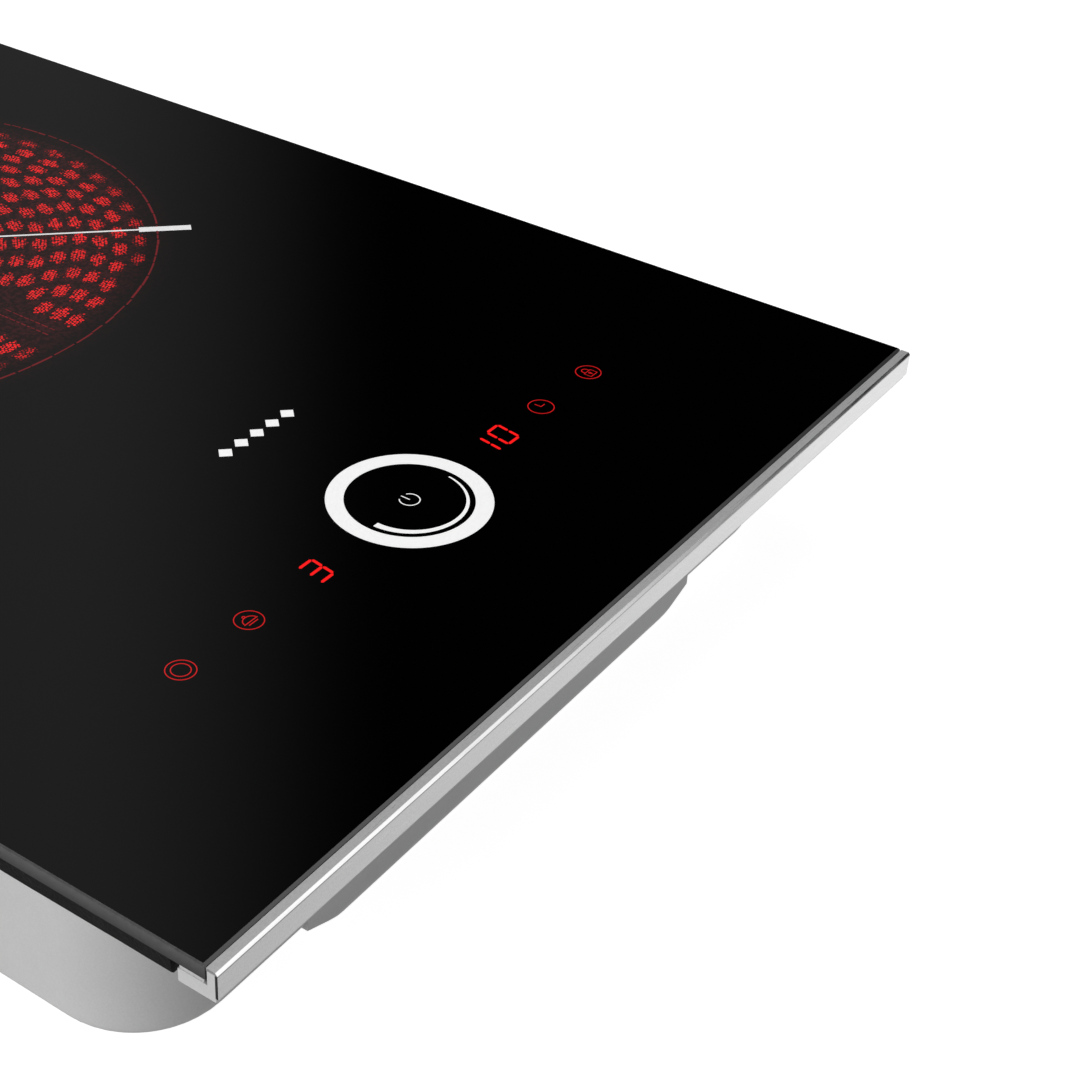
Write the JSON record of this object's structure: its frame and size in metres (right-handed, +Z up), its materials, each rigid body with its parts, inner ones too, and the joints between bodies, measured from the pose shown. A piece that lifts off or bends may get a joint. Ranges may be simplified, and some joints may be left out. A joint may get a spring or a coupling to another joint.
{
  "type": "built-in radiant hob",
  "caption": "Narrow built-in radiant glass hob with a round heated zone, a touch-control row, a front trim strip and a sheet-metal pan with swivel mounting clamps.",
  "frame": {"origin": "centre of the bounding box at the underside of the pan", "axes": "+X to the user's right, +Y from the front trim to the back, +Z up"},
  "size_m": [0.288, 0.51, 0.0629],
  "materials": {
    "black_glass": "polished black",
    "satin_metal": "satin",
    "mill_metal": "mill",
    "pale_silicone": "matt",
    "black_foam": "matt",
    "black_silicone": "satin",
    "pan_paint": "fine powder coat",
    "galvanised": "zinc",
    "zinc_screw": "zinc plated",
    "insulation": "fibrous matt",
    "ribbon_alloy": "oxidised",
    "steatite": "satin",
    "quartz": "clear",
    "spring_steel": "satin",
    "circuit_board": "solder mask",
    "conductive_foam": "matt",
    "display_red": "smoked",
    "lamp_red": "clear red",
    "black_plastic": "moulded",
    "white_plastic": "moulded",
    "blue_plastic": "moulded",
    "yellow_plastic": "moulded",
    "winding": "lacquered",
    "brass_part": "plain",
    "grey_cable": "matt",
    "red_wire": "sleeved",
    "brown_wire": "sleeved"
  },
  "bodies": {
    "hob": {"glass_plate": "black_glass", "trim_facing": "satin_metal", "trim_carrier": "mill_metal", "trim_tape": "pale_silicone", "worktop_gasket": "black_foam", "glass_bond": "black_silicone", "glass_frame": "galvanised", "pan": "pan_paint", "pan_screws": "zinc_screw", "front_divider": "galvanised", "rear_divider": "galvanised", "heater_dish": "galvanised", "insulation_base": "insulation", "insulation_ring": "insulation", "outer_ribbon": "ribbon_alloy", "inner_ribbon": "ribbon_alloy", "heater_terminals": "steatite", "limiter_tube": "quartz", "limiter_head": "steatite", "limiter_cap": "steatite", "heater_rails": "galvanised", "heater_leaf_springs": "spring_steel", "rail_screws": "zinc_screw", "control_board": "circuit_board", "touch_ring": "conductive_foam", "touch_springs": "spring_steel", "level_display": "display_red", "timer_display": "display_red", "icon_lamps": "lamp_red", "buzzer": "black_plastic", "board_tray": "white_plastic", "tray_hangers": "galvanised", "tray_screws": "zinc_screw", "power_board": "circuit_board", "board_standoffs": "zinc_screw", "board_screws": "zinc_screw", "power_relays": "blue_plastic", "transformer": "yellow_plastic", "filter_capacitor": "yellow_plastic", "fuse": "steatite", "mains_terminals": "white_plastic", "terminal_screws": "brass_part", "cable_gland": "black_plastic", "fan_frame": "black_plastic", "fan_stator": "winding", "fan_screws": "zinc_screw", "ribbon_cable": "grey_cable", "heater_leads": "red_wire", "mains_leads": "brown_wire", "clamp_screws": "zinc_screw", "clamp_washers": "zinc_screw", "clamp_nuts": "zinc_screw", "earth_stud": "brass_part"},
    "fan": {"fan_rotor": "black_plastic"},
    "limiter": {"limiter_plunger": "brass_part"},
    "clamp_1": {"clamp_front_left": "galvanised"},
    "clamp_2": {"clamp_front_right": "galvanised"},
    "clamp_3": {"clamp_rear_left": "galvanised"},
    "clamp_4": {"clamp_rear_right": "galvanised"}
  },
  "joints": [
    {"name": "fan_spin", "type": "hinge", "parent": "hob", "child": "fan", "pos_m": [0, 0.188, 0.008], "axis": [0, 0, 1], "continuous": true},
    {"name": "limiter_travel", "type": "slide", "parent": "hob", "child": "limiter", "axis": [0, -1, 0], "range_m": [0, 0.0005], "stiffness_N_per_m": 500},
    {"name": "front_left_clamp_swing", "type": "hinge", "parent": "hob", "child": "clamp_1", "pos_m": [-0.112, -0.15, 0.0043], "axis": [0, 0, 1], "range_deg": [0, 90]},
    {"name": "front_right_clamp_swing", "type": "hinge", "parent": "hob", "child": "clamp_2", "pos_m": [0.112, -0.15, 0.0043], "axis": [0, 0, 1], "range_deg": [-90, 0]},
    {"name": "rear_left_clamp_swing", "type": "hinge", "parent": "hob", "child": "clamp_3", "pos_m": [-0.112, 0.2, 0.0043], "axis": [0, 0, 1], "range_deg": [-90, 0]},
    {"name": "rear_right_clamp_swing", "type": "hinge", "parent": "hob", "child": "clamp_4", "pos_m": [0.112, 0.2, 0.0043], "axis": [0, 0, 1], "range_deg": [0, 90]}
  ]
}
